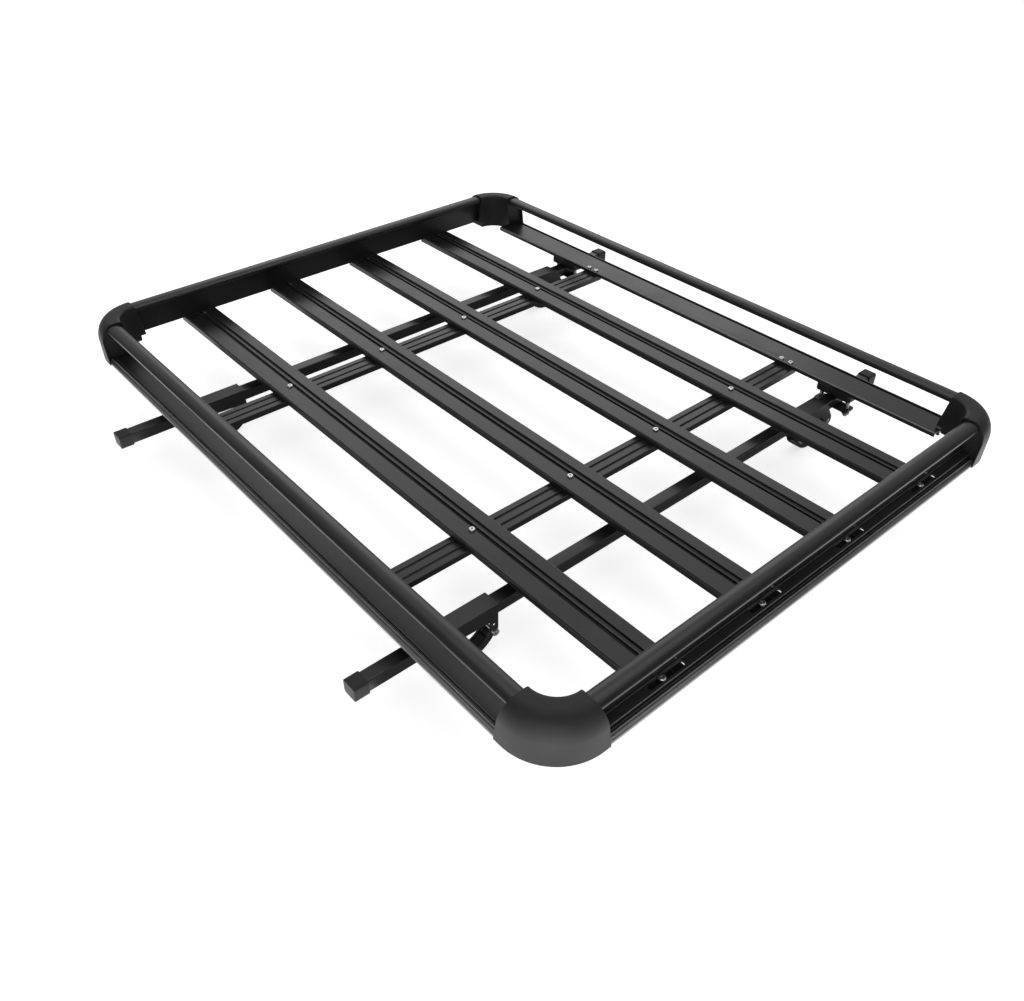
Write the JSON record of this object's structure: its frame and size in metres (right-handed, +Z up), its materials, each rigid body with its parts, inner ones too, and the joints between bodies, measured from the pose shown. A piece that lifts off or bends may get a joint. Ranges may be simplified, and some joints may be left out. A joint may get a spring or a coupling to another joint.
{
  "type": "roof cargo basket",
  "caption": "Low rectangular roof cargo basket with oval rails, rounded corner caps and slatted floor, on crossbars held by sliding roof rail clamps with swinging levers.",
  "frame": {"origin": "under the middle of the basket, level with the lowest point of the roof clamps", "axes": "+X along the vehicle (front), +Y across it (left), +Z up; the slats run along X and the crossbars along Y"},
  "size_m": [1.27, 1.148, 0.17],
  "materials": {
    "rail_aluminium": "satin black powder coat over aluminium",
    "slat_aluminium": "satin black powder coat over aluminium",
    "crossbar_aluminium": "satin black anodised look",
    "cap_plastic": "fine matte grain",
    "bracket_steel": "black powder coat on sheet steel",
    "pad_rubber": "matte black rubber",
    "zinc_steel": "bright zinc"
  },
  "bodies": {
    "basket": {"corner_cap_front_left": "cap_plastic", "corner_cap_front_right": "cap_plastic", "corner_cap_rear_left": "cap_plastic", "corner_cap_rear_right": "cap_plastic", "cross_member_front": "slat_aluminium", "cross_member_rear": "slat_aluminium", "cross_member_screws": "zinc_steel", "crossbar_cap_front_left": "cap_plastic", "crossbar_cap_front_right": "cap_plastic", "crossbar_cap_rear_left": "cap_plastic", "crossbar_cap_rear_right": "cap_plastic", "crossbar_front": "crossbar_aluminium", "crossbar_rear": "crossbar_aluminium", "end_rail_front": "rail_aluminium", "end_rail_rear": "rail_aluminium", "floor_slat_1": "slat_aluminium", "floor_slat_2": "slat_aluminium", "floor_slat_3": "slat_aluminium", "floor_slat_4": "slat_aluminium", "saddle_block_front_left": "bracket_steel", "saddle_block_front_right": "bracket_steel", "saddle_block_rear_left": "bracket_steel", "saddle_block_rear_right": "bracket_steel", "saddle_bolts": "zinc_steel", "saddle_plates": "bracket_steel", "side_lower_rail_left": "rail_aluminium", "side_lower_rail_right": "rail_aluminium", "side_top_rail_left": "rail_aluminium", "side_top_rail_right": "rail_aluminium", "slat_end_screws": "zinc_steel", "slat_screws": "zinc_steel"},
    "clamp_front_left": {"clamp_body_front_left": "bracket_steel", "clamp_jaw_pad_front_left": "pad_rubber", "clamp_hardware_front_left": "zinc_steel"},
    "lever_front_left": {"clamp_lever_front_left": "bracket_steel", "lever_liner_front_left": "pad_rubber"},
    "screw_front_left": {"clamp_screw_front_left": "zinc_steel"},
    "clamp_front_right": {"clamp_body_front_right": "bracket_steel", "clamp_jaw_pad_front_right": "pad_rubber", "clamp_hardware_front_right": "zinc_steel"},
    "lever_front_right": {"clamp_lever_front_right": "bracket_steel", "lever_liner_front_right": "pad_rubber"},
    "screw_front_right": {"clamp_screw_front_right": "zinc_steel"},
    "clamp_rear_left": {"clamp_body_rear_left": "bracket_steel", "clamp_jaw_pad_rear_left": "pad_rubber", "clamp_hardware_rear_left": "zinc_steel"},
    "lever_rear_left": {"clamp_lever_rear_left": "bracket_steel", "lever_liner_rear_left": "pad_rubber"},
    "screw_rear_left": {"clamp_screw_rear_left": "zinc_steel"},
    "clamp_rear_right": {"clamp_body_rear_right": "bracket_steel", "clamp_jaw_pad_rear_right": "pad_rubber", "clamp_hardware_rear_right": "zinc_steel"},
    "lever_rear_right": {"clamp_lever_rear_right": "bracket_steel", "lever_liner_rear_right": "pad_rubber"},
    "screw_rear_right": {"clamp_screw_rear_right": "zinc_steel"}
  },
  "joints": [
    {"name": "clamp_slide_front_left", "type": "slide", "parent": "basket", "child": "clamp_front_left", "axis": [0, -1, 0], "range_m": [0, 0.2]},
    {"name": "screw_travel_front_left", "type": "slide", "parent": "clamp_front_left", "child": "screw_front_left", "axis": [0, 0, -1], "range_m": [0, 0.0185]},
    {"name": "lever_swing_front_left", "type": "hinge", "parent": "clamp_front_left", "child": "lever_front_left", "pos_m": [0.351, 0.3512, 0.0329], "axis": [-1, 0, 0], "range_deg": [0, 11]},
    {"name": "clamp_slide_front_right", "type": "slide", "parent": "basket", "child": "clamp_front_right", "axis": [0, 1, 0], "range_m": [0, 0.2]},
    {"name": "screw_travel_front_right", "type": "slide", "parent": "clamp_front_right", "child": "screw_front_right", "axis": [0, 0, -1], "range_m": [0, 0.0185]},
    {"name": "lever_swing_front_right", "type": "hinge", "parent": "clamp_front_right", "child": "lever_front_right", "pos_m": [0.351, -0.3512, 0.0329], "axis": [1, 0, 0], "range_deg": [0, 11]},
    {"name": "clamp_slide_rear_left", "type": "slide", "parent": "basket", "child": "clamp_rear_left", "axis": [0, -1, 0], "range_m": [0, 0.2]},
    {"name": "screw_travel_rear_left", "type": "slide", "parent": "clamp_rear_left", "child": "screw_rear_left", "axis": [0, 0, -1], "range_m": [0, 0.0185]},
    {"name": "lever_swing_rear_left", "type": "hinge", "parent": "clamp_rear_left", "child": "lever_rear_left", "pos_m": [-0.351, 0.3512, 0.0329], "axis": [-1, 0, 0], "range_deg": [0, 11]},
    {"name": "clamp_slide_rear_right", "type": "slide", "parent": "basket", "child": "clamp_rear_right", "axis": [0, 1, 0], "range_m": [0, 0.2]},
    {"name": "screw_travel_rear_right", "type": "slide", "parent": "clamp_rear_right", "child": "screw_rear_right", "axis": [0, 0, -1], "range_m": [0, 0.0185]},
    {"name": "lever_swing_rear_right", "type": "hinge", "parent": "clamp_rear_right", "child": "lever_rear_right", "pos_m": [-0.351, -0.3512, 0.0329], "axis": [1, 0, 0], "range_deg": [0, 11]}
  ],
  "couplings": [
    {"joint": "screw_travel_front_left", "follows": "lever_swing_front_left", "m_per_rad": 0.09376},
    {"joint": "screw_travel_front_right", "follows": "lever_swing_front_right", "m_per_rad": 0.09376},
    {"joint": "screw_travel_rear_left", "follows": "lever_swing_rear_left", "m_per_rad": 0.09376},
    {"joint": "screw_travel_rear_right", "follows": "lever_swing_rear_right", "m_per_rad": 0.09376}
  ]
}
